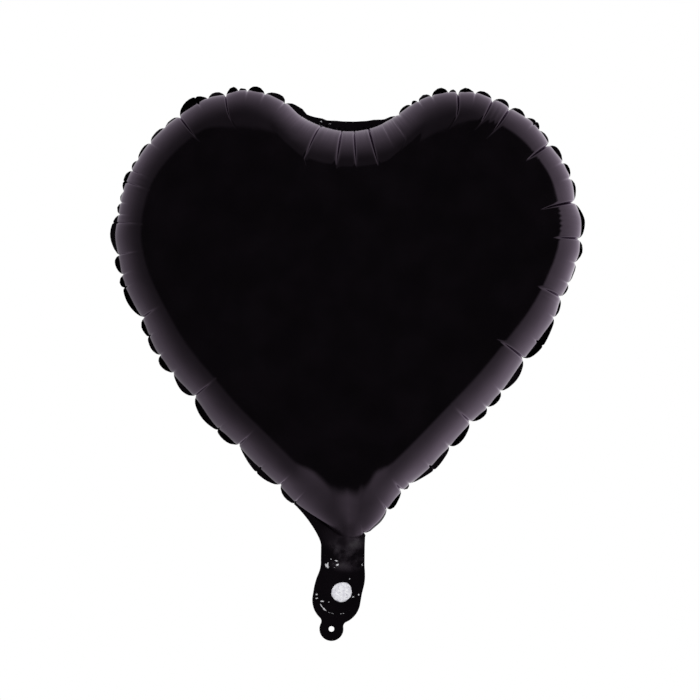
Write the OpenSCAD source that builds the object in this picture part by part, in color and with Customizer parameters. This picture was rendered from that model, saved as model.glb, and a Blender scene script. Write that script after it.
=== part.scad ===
// Heart-shaped foil balloon, blown up: two film panels sealed round a puckered rim, a two-film
// self-sealing valve in the neck, and a flat tail with a filling port and a tie tab.
// Millimetres. The origin is the middle of the neck fold, +Z runs up through the heart and
// the front panel faces -Y.

/* [Heart] */
// Radius of each lobe's round side at the seam
lobe_r = 123; // [100:0.5:150]
// Distance of the round side's centre from the middle
lobe_x = 61.5; // [50:0.5:75]
// Height of the round sides' centres above the neck fold
lobe_z = 261; // [215:1:315]
// Radius of each lobe's crown
crown_r = 65.5; // [50:0.5:80]
// Direction in which the crown begins, above sideways
crown_a = 64; // [55:1:72]
// Radius of the long sides
side_r = 630; // [520:5:760]
// Height above the neck fold where the two sides would cross
tip_z = 17.7; // [15:0.1:21]
// Radius of the rounded notch between the lobes
notch_r = 64.5; // [50:0.5:78]
// Depth of each panel at its deepest point
belly = 80; // [60:1:100]
// Height of the deepest point above the neck fold
belly_z = 226; // [190:1:250]
// Radius that the panel's contours tend to near the deepest point
round_r = 150; // [110:1:180]
// How much slimmer the panel runs out towards the tip
tip_taper = 0.6; // [0:0.05:1]

/* [Rim] */
// Width of the sealed rim at the middle of a pucker
rim_w = 6; // [4:0.5:10]
// Width of the sealed rim at a crease
rim_crease_w = 3; // [2:0.5:4]
// How far a crease pulls the seam inwards
crease_d = 1.6; // [0.5:0.1:3]
// How far the rim waves out of its plane
rim_wave = 1.5; // [0:0.1:3]
// Puckers along each half of the rim
puckers = 20; // [12:1:24]
// Length of plain seam between the valve's channel and the first crease
plain_l = 40; // [34:1:50]

/* [Film] */
// Thickness of the metallised film
film_t = 0.05; // [0.04:0.01:0.1]
// Thickness of each valve film
valve_t = 0.05; // [0.04:0.01:0.08]
// Open height of the valve's passage
passage = 0.06; // [0.05:0.01:0.1]
// Thickness of the heat-proof print in the passage
print_t = 0.02; // [0.01:0.01:0.03]

/* [Neck and valve] */
// Width of the neck
neck_w = 35; // [30:0.5:42]
// Height of the neck's straight edges
neck_h = 14; // [8:0.5:16]
// Width of the unsealed channel in the neck
channel_w = 20; // [16:0.5:24]
// How far the valve films reach into the heart above the channel
sleeve_l = 60; // [40:1:90]
// Width of the welds along the valve's edges
weld_w = 2.5; // [1.5:0.1:3]
// Side clearance between a valve film and the seal round it
valve_gap = 0.4; // [0.3:0.05:0.6]

/* [Tail] */
// Sideways lean of the tail
tail_lean = 9; // [0:0.5:12]
// Width of the tail
tail_w = 38.6; // [36:0.2:46]
// Distance below the neck fold where the tail reaches its full width
shoulder_z = 14; // [10:0.5:18]
// Distance below the neck fold of the centre of the tail's rounded end
tail_z = 30; // [28:0.5:36]
// Half width of the tail's unsealed pocket
pocket_r = 15.5; // [14:0.1:16.5]
// Distance below the neck fold of the centre of the pocket's rounded end
pocket_z = 25.5; // [23:0.5:28]
// Diameter of the filling port
port_d = 16; // [12:0.2:19]
// Distance of the filling port below the neck fold
port_z = 23; // [21:0.5:25]
// Sideways place of the filling port
port_x = 3; // [-3:0.5:3]

/* [Tab] */
// Radius of the tie tab
tab_r = 9.6; // [8:0.1:11]
// Distance of the tie tab's centre below the neck fold
tab_z = 53.5; // [52:0.5:60]
// Radius of the fillets between the tail and its tab
tab_fillet = 4; // [3:0.5:6]
// Diameter of the tie hole
tie_d = 4.4; // [3:0.1:7]
// Thickness of the weld between the tab's two films
tab_weld_t = 0.06; // [0.04:0.01:0.08]

/* [Folds] */
// Clear gap across each fold line
fold_gap = 0.8; // [0.7:0.1:1.2]

/* [Hidden] */
$fn = 96;
dome_n = 7;
plain_n = 6;
mouth_n = 4;
// height between the two panels where they are sealed together
seal_t = 2 * valve_t + passage;
half_gap = fold_gap / 2;
// centre of the right side's arc, which meets the lobe's arc without a corner
tip = [0, tip_z];
lobe = [lobe_x, lobe_z];
tip_lobe = norm(lobe - tip);
lobe_dir = (lobe - tip) / tip_lobe;
lobe_across = [-lobe_dir[1], lobe_dir[0]];
side_along = (pow(side_r, 2) - pow(side_r - lobe_r, 2) + pow(tip_lobe, 2)) / (2 * tip_lobe);
side_c = tip + side_along * lobe_dir + sqrt(pow(side_r, 2) - pow(side_along, 2)) * lobe_across;
// angles where the arcs begin and end
mouth_a = -acos((channel_w / 2 - side_c[0]) / side_r);
join_a = atan2(lobe[1] - side_c[1], lobe[0] - side_c[0]);
crown_c = lobe + (lobe_r - crown_r) * [cos(crown_a), sin(crown_a)];
notch_c = [0, crown_c[1] + sqrt(pow(crown_r + notch_r, 2) - pow(crown_c[0], 2))];
crown_end_a = atan2(notch_c[1] - crown_c[1], -crown_c[0]);
notch_a = crown_end_a - 180;
// lengths of the arcs of half the seam
side_l = side_r * (join_a - mouth_a) * PI / 180;
lobe_l = lobe_r * (crown_a - join_a) * PI / 180;
crown_l = crown_r * (crown_end_a - crown_a) * PI / 180;
notch_l = notch_r * (notch_a + 90) * PI / 180;
crown_at = side_l + lobe_l;
notch_at = crown_at + crown_l;
seam_l = notch_at + notch_l;
mouth_z = side_c[1] + side_r * sin(mouth_a);
rim_n = 4 * puckers;
half_n = plain_n + rim_n;
belly_c = [0, belly_z];
// centre of the right-hand fillet between the tail and its tab
bag_r = tail_w / 2;
root_r = bag_r + tab_fillet;
root_z = (pow(root_r, 2) - pow(tab_r + tab_fillet, 2) + pow(tab_z - tail_z, 2)) / (2 * (tab_z - tail_z));
root_x = sqrt(pow(root_r, 2) - pow(root_z, 2));
tab_fold_z = tail_z + root_z;
bag_end_a = atan2(root_z, root_x);
tab_end_a = atan2(tab_z - tab_fold_z, root_x);
arc_n = 16;
beyond = 200;

function on_arc(c, r, a) = c + r * [cos(a), sin(a)];
// The arc of the right half of the seam, this far along it from the valve's channel: its centre, its
// radius, the direction of the point on it and whether the heart lies inside (1) or outside (-1)
function arc_at(l) =
    l < side_l ? [side_c, side_r, mouth_a + l / side_r * 180 / PI, 1] :
    l < crown_at ? [lobe, lobe_r, join_a + (l - side_l) / lobe_r * 180 / PI, 1] :
    l < notch_at ? [crown_c, crown_r, crown_a + (l - crown_at) / crown_r * 180 / PI, 1] :
    [notch_c, notch_r, notch_a - (l - notch_at) / notch_r * 180 / PI, -1];
// The seam's point there and its outward direction
function seam_at(l) = let (a = arc_at(l)) on_arc(a[0], a[1], a[2]);
function out_at(l) = let (a = arc_at(l)) a[3] * on_arc([0, 0], 1, a[2]);

// Each column holds the seam's point, its outward direction, how far it is out of a crease (0 to 1),
// the rim's wave (-1 to 1) and the rim's outer edge
function length_of(k) =
    k <= plain_n ? plain_l * k / plain_n :
    plain_l + (seam_l - plain_l) * (k - plain_n) / rim_n;
function wave_of(k) = k <= plain_n ? 0 : sin(45 * (k - plain_n));
function crest_of(k) = k < plain_n ? 1 : abs(wave_of(k));
function rim_w_of(k) = rim_crease_w + (rim_w - rim_crease_w) * crest_of(k);
function rim_edge(k) = seam_at(length_of(k)) + rim_w_of(k) * out_at(length_of(k));
// the plain seam's rim runs down into the neck's straight edge on a smooth curve
fillet_end = rim_edge(plain_n);
fillet_out = out_at(plain_l);
fillet_mid = [neck_w / 2, fillet_end[1] - (fillet_end[0] - neck_w / 2) * fillet_out[0] / -fillet_out[1]];
function neck_curve(f) =
    pow(1 - f, 2) * [neck_w / 2, neck_h] + 2 * f * (1 - f) * fillet_mid + f * f * fillet_end;
function edge_of(k) =
    k == 0 ? [neck_w / 2, half_gap] :
    k < plain_n ? neck_curve((k - 1) / (plain_n - 1)) :
    rim_edge(k);
function column(k) = [seam_at(length_of(k)), out_at(length_of(k)), crest_of(k), wave_of(k), edge_of(k)];
function flip(p) = [-p[0], p[1]];
function flipped(c) = [flip(c[0]), flip(c[1]), c[2], c[3], flip(c[4])];
function mouth_column(f) = [[f * channel_w / 2, mouth_z], [0, -1], 1, 0, [f * neck_w / 2, half_gap]];
rim_columns = concat(
    [for (k = [0 : half_n]) column(k)],
    [for (k = [half_n - 1 : -1 : 0]) flipped(column(k))]);
columns = concat(
    rim_columns,
    [for (i = [1 : mouth_n - 1]) mouth_column(2 * i / mouth_n - 1)]);
column_n = len(columns);

// A ring of the panel's inner face: 1 to dome_n run from the deepest point to the seam, and one
// more is the rim's outer edge. side is -1 for the front panel and 1 for the back one.
function contour(c, s) =
    let (reach = c[0] - belly_c)
    belly_c + s * (s * s * reach + (1 - s * s) * round_r * reach / norm(reach));
function dome_point(c, i, side) =
    let (
        a = 90 * i / dome_n,
        down = max(0, belly_z - c[0][1]) / norm(c[0] - belly_c),
        s = pow(sin(a), 2 / 3 + tip_taper * down * down),
        pull = crease_d * (1 - c[2]) * max(0, (s - 0.8) / 0.2),
        p = contour(c, s) - pull * c[1])
    [p[0], side * (seal_t / 2 + belly * cos(a)), p[1]];
function rim_point(c, side) = [c[4][0], side * seal_t / 2 + rim_wave * c[3], c[4][1]];
function ring(i, side) = [for (c = columns) i <= dome_n ? dome_point(c, i, side) : rim_point(c, side)];
function unit(v) = v / norm(v);
// The panel's outward direction at one point of a ring
function out_of(rings, i, j, side) =
    let (
        along = rings[i][(j + 1) % column_n] - rings[i][(j + column_n - 1) % column_n],
        inward = rings[max(i - 1, 0)][j] - rings[min(i + 1, dome_n - 1)][j],
        n = unit(cross(along, inward)))
    n[1] * side < 0 ? -n : n;

module film_panel(side) {
    rings = [for (i = [1 : dome_n + 1]) ring(i, side)];
    facing = [0, side, 0];
    pole = [0, side * (seal_t / 2 + belly), belly_z];
    inner = concat([pole], [for (r = rings) each r]);
    outer = concat(
        [pole + film_t * facing],
        [for (i = [0 : dome_n - 2]) for (j = [0 : column_n - 1])
            rings[i][j] + film_t * out_of(rings, i, j, side)],
        [for (j = [0 : column_n - 1])
            rings[dome_n - 1][j] + film_t * (out_of(rings, dome_n - 1, j, side) + facing)],
        [for (p = rings[dome_n]) p + film_t * facing]);
    skin = concat(
        [for (j = [0 : column_n - 1]) [0, 1 + j, 1 + (j + 1) % column_n]],
        [for (i = [0 : dome_n - 1]) for (j = [0 : column_n - 1])
            let (a = 1 + i * column_n, n = (j + 1) % column_n)
            each [[a + j, a + column_n + j, a + column_n + n], [a + j, a + column_n + n, a + n]]]);
    shift = len(inner);
    edge = 1 + dome_n * column_n;
    lip = [for (j = [0 : column_n - 1])
        let (n = (j + 1) % column_n)
        each [[edge + j, edge + shift + n, edge + shift + j], [edge + j, edge + n, edge + shift + n]]];
    faces = concat([for (f = skin) [f[2], f[1], f[0]]], [for (f = skin) f + [shift, shift, shift]], lip);
    polyhedron(concat(inner, outer), side < 0 ? faces : [for (f = faces) [f[2], f[1], f[0]]]);
}

module front_film() {
    color([0.03, 0.03, 0.035])
    film_panel(-1);
}

module back_film() {
    color([0.03, 0.03, 0.035])
    film_panel(1);
}

// The welded band between the panels. It stops at both sides of the valve's channel.
module rim_seal() {
    n = len(rim_columns);
    corner = [channel_w / 2, half_gap];
    seam_f = [for (c = rim_columns) dome_point(c, dome_n, -1)];
    seam_b = [for (c = rim_columns) dome_point(c, dome_n, 1)];
    edge_f = [for (c = rim_columns) rim_point(c, -1)];
    edge_b = [for (c = rim_columns) rim_point(c, 1)];
    ends = [for (x = [1, -1]) for (y = [-1, 1]) [x * corner[0], y * seal_t / 2, corner[1]]];
    points = concat(seam_f, seam_b, edge_f, edge_b, ends);
    e = 4 * n;
    strip = [for (j = [0 : n - 2]) each [
        [j, 2 * n + j, 2 * n + j + 1], [j, 2 * n + j + 1, j + 1],
        [n + j, 3 * n + j + 1, 3 * n + j], [n + j, n + j + 1, 3 * n + j + 1],
        [j, j + 1, n + j + 1], [j, n + j + 1, n + j],
        [2 * n + j, 3 * n + j, 3 * n + j + 1], [2 * n + j, 3 * n + j + 1, 2 * n + j + 1]]];
    right = [
        [0, e, 2 * n], [n, 3 * n, e + 1],
        [0, n, e + 1], [0, e + 1, e],
        [e, e + 1, 3 * n], [e, 3 * n, 2 * n]];
    left = [
        [n - 1, 3 * n - 1, e + 2], [2 * n - 1, e + 3, 4 * n - 1],
        [n - 1, e + 3, 2 * n - 1], [n - 1, e + 2, e + 3],
        [e + 2, 4 * n - 1, e + 3], [e + 2, 3 * n - 1, 4 * n - 1]];
    color([0.05, 0.05, 0.06])
    polyhedron(points, concat(strip, right, left));
}

// A flat layer from one height to another across the films, drawn in the heart's own plane
module layer(y0, y1) {
    translate([0, y1, 0])
    rotate([90, 0, 0])
    linear_extrude(height = y1 - y0)
    children();
}

module strip(half_w, z0, z1) {
    translate([-half_w, z0])
    square([2 * half_w, z1 - z0]);
}

sleeve_w = channel_w / 2 - valve_gap;
sleeve_top = mouth_z + sleeve_l;

module sleeve_front() {
    color([0.8, 0.8, 0.84])
    layer(-seal_t / 2, -passage / 2)
    strip(sleeve_w, half_gap, sleeve_top);
}

module sleeve_back() {
    color([0.8, 0.8, 0.84])
    layer(passage / 2, seal_t / 2)
    strip(sleeve_w, half_gap, sleeve_top);
}

// The two welds that close the valve's long edges
module sleeve_welds() {
    color([0.7, 0.7, 0.75])
    layer(-passage / 2, passage / 2)
    difference() {
        strip(sleeve_w, half_gap, sleeve_top);
        strip(sleeve_w - weld_w, -beyond, beyond);
    }
}

// The heat-proof print that keeps the passage open where the neck is sealed across
module release_print() {
    color([0.55, 0.5, 0.6])
    layer(passage / 2 - print_t, passage / 2)
    strip(sleeve_w - weld_w - valve_gap, half_gap, mouth_z + neck_h);
}

// Points of an arc, and of a whole outline from its right half
function arc(c, r, from, to) = [for (i = [0 : arc_n]) on_arc(c, r, from + (to - from) * i / arc_n)];
function both(half) = concat(half, [for (i = [len(half) - 1 : -1 : 0]) flip(half[i])]);

// The tail and its tab in the tail's own axes. They share the fillets' narrowest line, the tab's fold.
module bag_outline() {
    polygon(both(concat(
        [[neck_w / 2, neck_h], [neck_w / 2, 0], [bag_r, -shoulder_z]],
        arc([0, -tail_z], bag_r, 0, -bag_end_a),
        arc([root_x, -tab_fold_z], tab_fillet, 180 - bag_end_a, 180))));
}

module tab_outline() {
    polygon(both(concat(
        arc([root_x, -tab_fold_z], tab_fillet, 180, 180 + tab_end_a),
        arc([0, -tab_z], tab_r, tab_end_a, -90))));
}

// The unsealed pocket of the tail, drawn in by a margin
module pocket(margin) {
    w = channel_w / 2 - margin;
    r = pocket_r - margin;
    polygon(both(concat(
        [[w, neck_h], [w, -shoulder_z / 3], [r, -shoulder_z]],
        arc([0, -pocket_z], r, 0, -90))));
}

// Turns a drawing from the tail's own axes into the heart's, and cuts it off below the neck fold
module leaning() {
    intersection() {
        rotate(-tail_lean)
        children();
        strip(beyond, -beyond, -half_gap);
    }
}

module tail_plate() {
    leaning()
    intersection() {
        bag_outline();
        strip(beyond, half_gap - tab_fold_z, beyond);
    }
}

module port(d) {
    rotate(-tail_lean)
    translate([port_x, -port_z])
    circle(d = d);
}

module tail_front_film() {
    color([0.03, 0.03, 0.035])
    layer(-seal_t / 2 - film_t, -seal_t / 2)
    difference() {
        tail_plate();
        port(port_d);
    }
}

module tail_back_film() {
    color([0.03, 0.03, 0.035])
    layer(seal_t / 2, seal_t / 2 + film_t)
    tail_plate();
}

module tail_seal() {
    color([0.05, 0.05, 0.06])
    layer(-seal_t / 2, seal_t / 2)
    difference() {
        tail_plate();
        rotate(-tail_lean)
        pocket(0);
    }
}

module inlet_front() {
    color([0.8, 0.8, 0.84])
    layer(-seal_t / 2, -passage / 2)
    difference() {
        leaning()
        pocket(valve_gap);
        port(port_d);
    }
}

module inlet_back() {
    color([0.8, 0.8, 0.84])
    layer(passage / 2, seal_t / 2)
    leaning()
    pocket(valve_gap);
}

module tab_plate() {
    rotate(-tail_lean)
    difference() {
        intersection() {
            tab_outline();
            strip(beyond, -beyond, -tab_fold_z - half_gap);
        }
        translate([0, -tab_z])
        circle(d = tie_d);
    }
}

module tab_front_film() {
    color([0.03, 0.03, 0.035])
    layer(-tab_weld_t / 2 - film_t, -tab_weld_t / 2)
    tab_plate();
}

module tab_back_film() {
    color([0.03, 0.03, 0.035])
    layer(tab_weld_t / 2, tab_weld_t / 2 + film_t)
    tab_plate();
}

module tab_seal() {
    color([0.05, 0.05, 0.06])
    layer(-tab_weld_t / 2, tab_weld_t / 2)
    tab_plate();
}

front_film();
back_film();
rim_seal();
sleeve_front();
sleeve_back();
sleeve_welds();
release_print();
tail_front_film();
tail_back_film();
tail_seal();
inlet_front();
inlet_back();
tab_front_film();
tab_back_film();
tab_seal();
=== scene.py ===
import math

import bpy
import numpy as np
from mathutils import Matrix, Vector, noise


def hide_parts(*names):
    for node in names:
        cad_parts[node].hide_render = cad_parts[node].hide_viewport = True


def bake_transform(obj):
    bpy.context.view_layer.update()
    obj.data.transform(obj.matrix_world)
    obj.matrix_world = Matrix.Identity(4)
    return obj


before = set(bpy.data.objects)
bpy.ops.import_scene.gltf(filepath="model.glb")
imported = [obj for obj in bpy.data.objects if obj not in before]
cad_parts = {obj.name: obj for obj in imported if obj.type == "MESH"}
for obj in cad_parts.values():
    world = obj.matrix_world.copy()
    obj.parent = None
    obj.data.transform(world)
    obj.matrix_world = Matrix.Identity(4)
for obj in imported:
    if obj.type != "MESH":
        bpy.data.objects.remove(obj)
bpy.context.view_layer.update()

bpy.ops.object.select_all(action="DESELECT")

# Rim weld
# The edge of the two panels, pressed together hot until the plastic inside them fuses: a thin stiff band
# outside the heart's seam, down both sides of the neck and round the tail's pocket. The gas draws the
# seam in, so between its creases the band folds into scallops.
MM = 0.001
# sizes are in millimetres, and x + 1j * z is a point of the heart's plane
SEAL_T = 0.16
LOBE_R = 123
LOBE_C = 61.5 + 261j
CROWN_R = 65.5
CROWN_A = math.radians(64)
SIDE_R = 630
TIP = 17.7j
NOTCH_R = 64.5
CHANNEL_W = 20
NECK_W = 35
NECK_H = 14
# the ends of the valve's mouth are drawn down and to the right, and with them this length of the seam,
# less and less; the middle of the mouth dips
PULL_LEFT = 3.9 - 1.3j
PULL_RIGHT = 4.6 - 4.1j
PULL_L = 45
PULL_POWER = 1.8
MOUTH_DIP = 2
# the heart bulges unevenly: millimetres from the mouth along the seam, and outwards, in each half
BULGE_RIGHT = (
    (0, 0), (10, 1.8), (20, 2.4), (32, 1.0), (46, -0.6), (60, -1.6), (80, -0.8), (95, -1.8), (125, -1.8),
    (145, -0.4), (170, -0.2), (190, -0.6), (215, 0.2), (232, 0.2), (250, -1.6), (270, -0.6), (283, 0.8),
    (292, 3.2), (315, 4.6), (332, 2.8), (345, 4.2), (360, 4.3), (375, 3.6), (403, 4.3), (416, 3.3),
    (431, 2.8), (448, 1.8), (470, 1), (490, 0.2), (511, 0.4), (535, 1), (550, 1.4), (563, 1.5))
BULGE_LEFT = (
    (0, 0), (35, 0.3), (62, -0.3), (95, -0.2), (110, 1), (130, 2.4), (150, 1.2), (172, 2.4), (188, 3.5),
    (202, 3.1), (218, 1), (232, -0.6), (260, -0.3), (283, -0.6), (300, 1.2), (316, -0.4), (345, 0),
    (372, -0.9), (395, -1.8), (430, -1.2), (455, -2.2), (468, -0.3), (490, 0.3), (512, 1.0), (526, 0.7),
    (540, 1.5), (552, 1.7), (563, 1.5))


def turn(angle):
    return np.exp(1j * angle)


def ease(value):
    """0 below 0, 1 above 1 and smooth between."""
    value = np.clip(value, 0, 1)
    return value**2 * (3 - 2 * value)


def rise(value, start, length):
    """0 up to a start, 1 from a length further on, and smooth between."""
    return ease((value - start) / length)


def fall(value, start, length):
    """1 up to a start, 0 from a length further on, and smooth between."""
    return 1 - rise(value, start, length)


def tent(off, half, power):
    """1 in the middle, falling to 0 at half the width on both sides."""
    return np.clip(1 - abs(off) / half, 0, 1) ** power


def bell(value, middle, half):
    """1 in the middle, falling off softly to both sides."""
    return np.exp(-(((value - middle) / half) ** 2))


to_lobe = abs(LOBE_C - TIP)
along = (SIDE_R**2 - (SIDE_R - LOBE_R) ** 2 + to_lobe**2) / (2 * to_lobe)
SIDE_C = TIP + (LOBE_C - TIP) / to_lobe * (along + 1j * math.sqrt(SIDE_R**2 - along**2))
CROWN_C = LOBE_C + (LOBE_R - CROWN_R) * turn(CROWN_A)
NOTCH_C = 1j * (CROWN_C.imag + math.sqrt((CROWN_R + NOTCH_R) ** 2 - CROWN_C.real**2))
MOUTH_A = -math.acos((CHANNEL_W / 2 - SIDE_C.real) / SIDE_R)
JOIN_A = np.angle(LOBE_C - SIDE_C)
CROWN_END_A = np.angle(NOTCH_C - CROWN_C)
NOTCH_A = CROWN_END_A - math.pi
# centre, radius, first direction and turn of each arc of the right half, from the mouth to the notch
ARCS = (
    (SIDE_C, SIDE_R, MOUTH_A, 1), (LOBE_C, LOBE_R, JOIN_A, 1),
    (CROWN_C, CROWN_R, CROWN_A, 1), (NOTCH_C, NOTCH_R, NOTCH_A, -1))
ENDS = np.cumsum((
    SIDE_R * (JOIN_A - MOUTH_A), LOBE_R * (CROWN_A - JOIN_A),
    CROWN_R * (CROWN_END_A - CROWN_A), NOTCH_R * (NOTCH_A + math.pi / 2)))
HALF_L = ENDS[-1]
RIM_L = 2 * HALF_L + CHANNEL_W
MOUTH_Z = (SIDE_C + SIDE_R * turn(MOUTH_A)).imag
MOUTH_AT = round(2 * HALF_L, 3)


def from_mouth(place):
    """Distance along the seam to the nearer side of the valve's mouth, 0 across the mouth."""
    return np.clip(np.minimum(place, 2 * HALF_L - place), 0, HALF_L)


def drawn(place):
    """How far the seam near the mouth is drawn down and to the right."""
    side = np.where(place < HALF_L, 1, np.clip((place - 2 * HALF_L) / CHANNEL_W, 0, 1))
    pull = PULL_LEFT + (PULL_RIGHT - PULL_LEFT) * side
    return pull * tent(from_mouth(place), PULL_L, PULL_POWER)


def eased(length, knots):
    """A curve through these places and values, level at each."""
    at, value = np.array(knots).T
    k = np.clip(np.searchsorted(at, length, side="right") - 1, 0, len(at) - 2)
    return value[k] + (value[k + 1] - value[k]) * ease((length - at[k]) / (at[k + 1] - at[k]))


def rim(place):
    """Point and outward direction of the seam, this far round it: up the right half from the
    mouth, down the left half and back across the mouth."""
    place = np.asarray(place) % RIM_L
    length = from_mouth(place)
    points, outs = [], []
    for (centre, radius, angle, way), start in zip(ARCS, np.append(0, ENDS)):
        spoke = turn(angle + way * (length - start) / radius)
        points.append(centre + radius * spoke)
        outs.append(way * spoke)
    arc = [length < end for end in ENDS[:-1]]
    point, out = np.select(arc, points[:-1], points[-1]), np.select(arc, outs[:-1], outs[-1])
    left, mouth = place > HALF_L, place > 2 * HALF_L
    point, out = np.where(left, -point.conj(), point), np.where(left, -out.conj(), out)
    across = np.clip(place - 2 * HALF_L, 0, CHANNEL_W) - CHANNEL_W / 2
    dip = MOUTH_DIP * (1 - (2 * across / CHANNEL_W) ** 2)
    bulge = np.where(left, eased(length, BULGE_LEFT), eased(length, BULGE_RIGHT))
    point = np.where(mouth, across + 1j * (MOUTH_Z - dip), point + bulge * out) + drawn(place)
    return point, np.where(mouth, -1j, out)


# kinds of crease: depth at the seam, reach over the panel, half width, and the band's width there
DEEP = 2.6, 62, 2.0, 0.3
SHORT = 2.6, 36, 2.0, 0.3
LONG = 1.7, 55, 1.6, 0.3
BRIEF = 1.7, 34, 1.6, 0.3
SLIGHT = 1.1, 30, 1.7, 0.35
FINE = 1.0, 50, 1.2, 0.35
DENT = 1.0, 30, 1.7, 1.4
NICK = 0.3, 12, 1.6, 0.35
FAN = 2.2, 98, 1.4, 0
FAINT = 1.2, 62, 1.5, 0
# creases of the right half and the left half: millimetres from the mouth, kind, and how wide the band's
# scallop is from there on, 0 where the crease leaves the band alone
RIGHT = (
    (4, NICK, 1.5), (31, SLIGHT, 2.8), (49.8, SHORT, 1.7), (58, SLIGHT, 3.7), (79.7, SLIGHT, 0),
    (102, SLIGHT, 3.6), (127.5, DEEP, 2.9), (145.4, SLIGHT, 2.9), (162.4, SLIGHT, 4.0), (194, DEEP, 4.5),
    (211.4, SLIGHT, 0), (235, SLIGHT, 1.6), (252, DEEP, 1.3), (265, SLIGHT, 1.0), (282.2, SLIGHT, 2.0),
    (301.4, DEEP, 2.2), (331, DEEP, 1.6), (350, SLIGHT, 2.0), (363.5, SLIGHT, 3.5), (381.1, DEEP, 1.9),
    (395, NICK, 2.8), (401.1, SLIGHT, 0), (409, NICK, 3.3), (423.4, DEEP, 3.0), (438.5, DEEP, 2.8),
    (453.5, SLIGHT, 3.2), (467.5, DEEP, 2.3), (475, NICK, 3.8), (489, SLIGHT, 2.5), (500.5, SLIGHT, 1.9),
    (507, NICK, 1.9), (520, SLIGHT, 0.4), (526.5, FAINT, 0), (535.5, FAINT, 0), (546.9, FAN, 0),
    (558.4, FAN, 0))
LEFT = (
    (37, DENT, 3.1), (55, BRIEF, 4.0), (75.9, SLIGHT, 0), (101, LONG, 3.7), (121.5, DENT, 4.2),
    (153.5, LONG, 3.7), (179, SLIGHT, 3.5), (196.5, SLIGHT, 2.8), (214, DENT, 3.1), (229, LONG, 3.2),
    (257.5, DENT, 3.1), (268, SLIGHT, 3.3), (284, FINE, 3.7), (309.9, FINE, 0), (317, SLIGHT, 1.4),
    (326.7, SLIGHT, 1.0), (336, NICK, 2.3), (343.5, FINE, 0), (354, FINE, 1.3), (364, NICK, 1.7),
    (381, SLIGHT, 2.0), (398, NICK, 1.5), (413, LONG, 5.2), (432.2, SLIGHT, 0), (441, NICK, 3.0),
    (456, LONG, 3.8), (467, NICK, 1.8), (474.5, SLIGHT, 3.4), (489, SLIGHT, 3.4), (506.5, SLIGHT, 0.4),
    (541.4, FAN, 0), (558.6, FAN, 0))
# given to the left half's first crease, where the last scallop ends
LAST_W = 0.4
# the seam is drawn in round the deep creases, and a little at every crease that folds the band
PILLOW_D = 1.8
PILLOW_L = 20
TUCK_D = 1.4
TUCK_L = 4.5
rng = np.random.default_rng(7)

# on the left half a scallop runs from its crease up to the next one, against the way round the seam
left_ends = [at for at, kind, wide in LEFT if wide]
after_left = dict(zip(left_ends[1:], (wide for at, kind, wide in LEFT if wide)))
left_w = {at: after_left.get(at, LAST_W if wide else 0) for at, kind, wide in LEFT}
creases = sorted(
    [(at, *kind, wide) for at, kind, wide in RIGHT]
    + [(2 * HALF_L - at, *kind, left_w[at]) for at, kind, wide in LEFT])
crease_at, crease_d, crease_reach, crease_w, crease_low, crease_gap = np.array(creases).T
in_fan = crease_low == 0
deep_at = crease_at[(crease_d == DEEP[0]) | (crease_d == LONG[0])]
tuck_at = crease_at[(crease_gap > 0) & (crease_low < 1)]
gap_at, gap_low, gap_w = (value[crease_gap > 0] for value in (crease_at, crease_low, crease_gap))
crease_d = crease_d * rng.uniform(0.8, 1.2, len(crease_at))
crease_reach = crease_reach * rng.uniform(0.85, 1.15, len(crease_at))
gap_n = len(gap_at) - 1
gap_wave = rng.uniform(0.8, 2.2, gap_n) * rng.choice((-1, 1), gap_n)
gap_peak = rng.uniform(0.34, 0.66, gap_n)
# the scallop next to the mouth is widest a little above its middle
gap_peak[0] = 0.62

# fine ripples where the film is drawn in most: place, half length and height
RIPPLE_L = 4.6
RIPPLES_RIGHT = (
    (317, 18, 0.20), (431, 11, 0.18), (251, 9, 0.13), (381, 8, 0.14), (194, 8, 0.1), (127, 7, 0.1))
RIPPLES_LEFT = (
    (349, 14, 0.16), (310, 6, 0.14), (281, 5, 0.14), (410, 8, 0.12), (152, 6, 0.08))
ripples = [*RIPPLES_RIGHT, *((2 * HALF_L - at, half, high) for at, half, high in RIPPLES_LEFT)]

# columns of the panels' meshes: close together at the creases, at the ripples and across the mouth
GROOVE_STEPS = np.array((0, 0.25, 0.7, 1.2, 2.0))
GROOVE_CLEAR = 0.5
PLAIN_STEP = 3.0
LEAST_STEP = 0.17
RIPPLE_STEPS = 4
MOUTH_N = 40
to_groove = np.append(GROOVE_STEPS, -GROOVE_STEPS[1:])
fine = (crease_at[:, None] + to_groove).ravel()
plain = np.arange(0, 2 * HALF_L, PLAIN_STEP)
fine_ripples = [np.arange(at - half, at + half, RIPPLE_L / RIPPLE_STEPS) for at, half, high in ripples]
loose = np.concatenate([plain, *fine_ripples])
loose = loose[abs(loose[:, None] - crease_at).min(1) > GROOVE_STEPS[-1] + GROOVE_CLEAR]
mouth_columns = 2 * HALF_L + CHANNEL_W * np.arange(MOUTH_N) / MOUTH_N
COLUMNS = np.unique(np.concatenate([[0.0], fine, loose, mouth_columns]).round(3))
COLUMNS = COLUMNS[np.append(True, np.diff(COLUMNS) > LEAST_STEP)]
in_mouth = COLUMNS >= MOUTH_AT
seam_point, seam_out = rim(COLUMNS)

# the creases and the pillows between them draw the seam in
GROOVE = crease_d * tent(COLUMNS[:, None] - crease_at, crease_w, 1.8)
PILLOW = PILLOW_D * tent(COLUMNS[:, None] - deep_at, PILLOW_L, 2).max(1)
TUCK = TUCK_D * tent(COLUMNS[:, None] - tuck_at, TUCK_L, 1.5).max(1)
SEAM = seam_point - (GROOVE[:, ~in_fan].sum(1) + PILLOW + TUCK) * seam_out

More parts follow.
